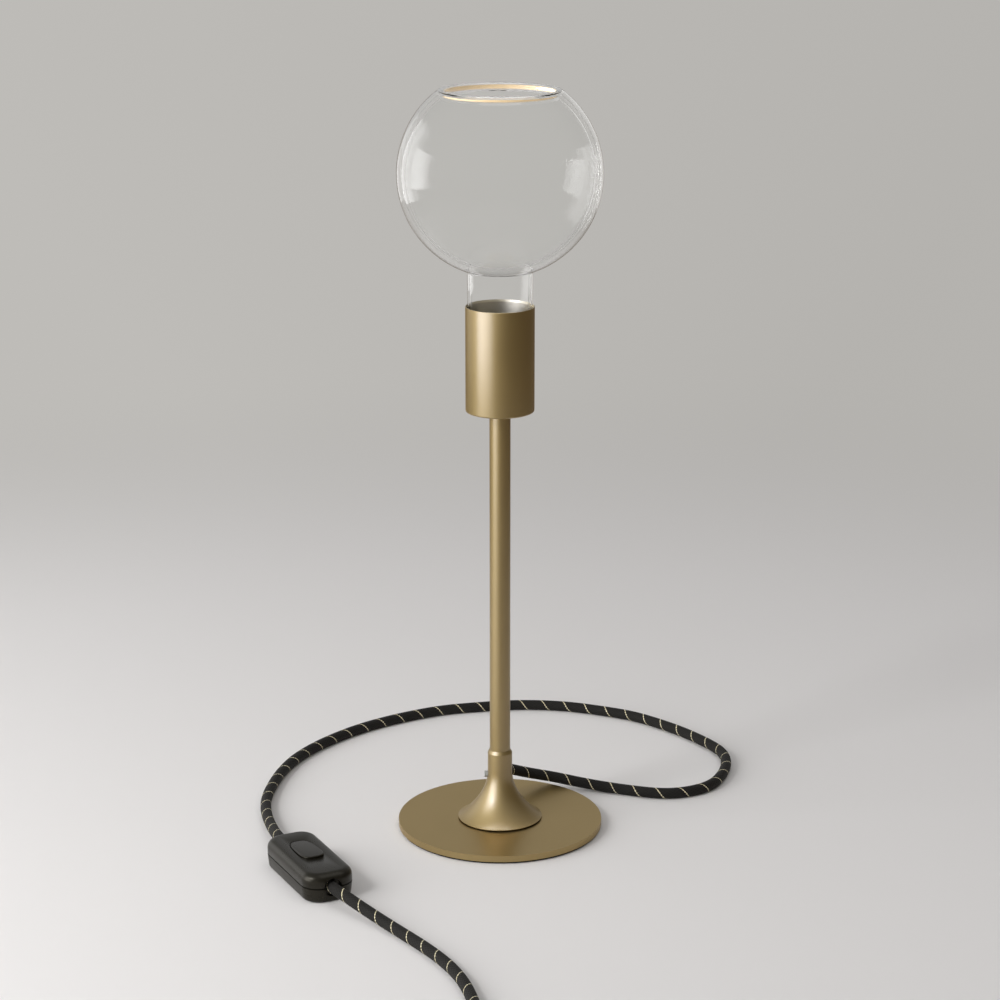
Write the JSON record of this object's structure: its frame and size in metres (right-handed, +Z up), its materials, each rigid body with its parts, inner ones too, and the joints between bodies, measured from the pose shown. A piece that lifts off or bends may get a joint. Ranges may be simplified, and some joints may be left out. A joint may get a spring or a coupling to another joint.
{
  "type": "table lamp",
  "caption": "Free-standing table lamp: round base disc, trumpet foot, slim stem and socket cup holding a double-walled open globe bulb, with braided cord, inline switch and earthed plug.",
  "frame": {"origin": "centre of the underside of the pad under the base disc, on the surface the lamp stands on", "axes": "+Z up along the stem's axis, +Y towards the back, where the cord leaves the foot, -Y towards the viewer, +X to the viewer's right"},
  "size_m": [0.3314, 0.6072, 0.4703],
  "materials": {
    "satin_brass": "satin, finely brushed",
    "bright_brass": "bright pressed",
    "black_rubber": "matt",
    "zinc_steel": "zinc plated",
    "nickel": "nickel plated",
    "black_plastic": "fine texture",
    "switch_plastic": "satin moulded",
    "nylon": "translucent nylon",
    "steatite": "unglazed ceramic",
    "clear_glass": "clear blown glass",
    "amber_strip": "silicone coated light strip",
    "circuit_board": "glass fibre board with solder mask",
    "braid": "black textile braid with one gold thread",
    "brown_pvc": "insulation",
    "blue_pvc": "insulation",
    "green_pvc": "insulation with yellow stripe"
  },
  "bodies": {
    "lamp": {"base_plate": "satin_brass", "base_pad": "black_rubber", "base_washer": "zinc_steel", "base_nut": "zinc_steel", "base_stud": "zinc_steel", "foot_gasket": "black_rubber", "trumpet_foot": "satin_brass", "cord_grip_screw": "nylon", "cord_bush": "black_plastic", "cord_end": "braid", "live_core": "brown_pvc", "neutral_core": "blue_pvc", "earth_core": "green_pvc", "stem_tube": "satin_brass", "top_nipple": "zinc_steel", "socket_cup": "satin_brass", "tooth_washer": "zinc_steel", "earth_tag": "bright_brass", "cup_nut": "zinc_steel", "holder_base": "black_plastic", "holder_carrier": "steatite", "holder_terminals": "bright_brass", "centre_contact": "bright_brass", "holder_sleeve": "bright_brass", "holder_skirt": "black_plastic", "cord_lamp": "braid", "switch_base": "switch_plastic", "switch_cover": "switch_plastic", "switch_spring": "zinc_steel", "switch_block": "steatite", "switch_contacts": "bright_brass", "switch_cores": "blue_pvc", "switch_grips": "zinc_steel", "switch_screws": "zinc_steel", "cord_mains": "braid", "cord_coil": "braid", "cord_tail": "braid", "plug_relief": "black_plastic", "plug_body": "black_plastic", "plug_pins": "nickel", "plug_earth_clips": "bright_brass"},
    "bulb_base": {"cap_insulator": "black_plastic", "cap_contact": "nickel"},
    "bulb": {"bulb_glass": "clear_glass", "light_strip": "amber_strip", "strip_leads": "zinc_steel", "bulb_cap": "nickel", "bulb_driver": "circuit_board"},
    "switch_button": {"switch_button": "switch_plastic"}
  },
  "joints": [
    {"name": "bulb_rise", "type": "slide", "parent": "lamp", "child": "bulb_base", "axis": [0, 0, 1], "range_m": [0, 0.01815]},
    {"name": "bulb_turn", "type": "hinge", "parent": "bulb_base", "child": "bulb", "pos_m": [0, 0, 0.3], "axis": [0, 0, 1], "range_deg": [0, 1800]},
    {"name": "button_press", "type": "slide", "parent": "lamp", "child": "switch_button", "axis": [0, 0, -1], "range_m": [0, 0.0016], "stiffness_N_per_m": 900, "springref_m": -0.001, "deforming": ["switch_spring"]}
  ],
  "couplings": [
    {"joint": "bulb_rise", "follows": "bulb_turn", "m_per_rad": 0.00057757}
  ]
}
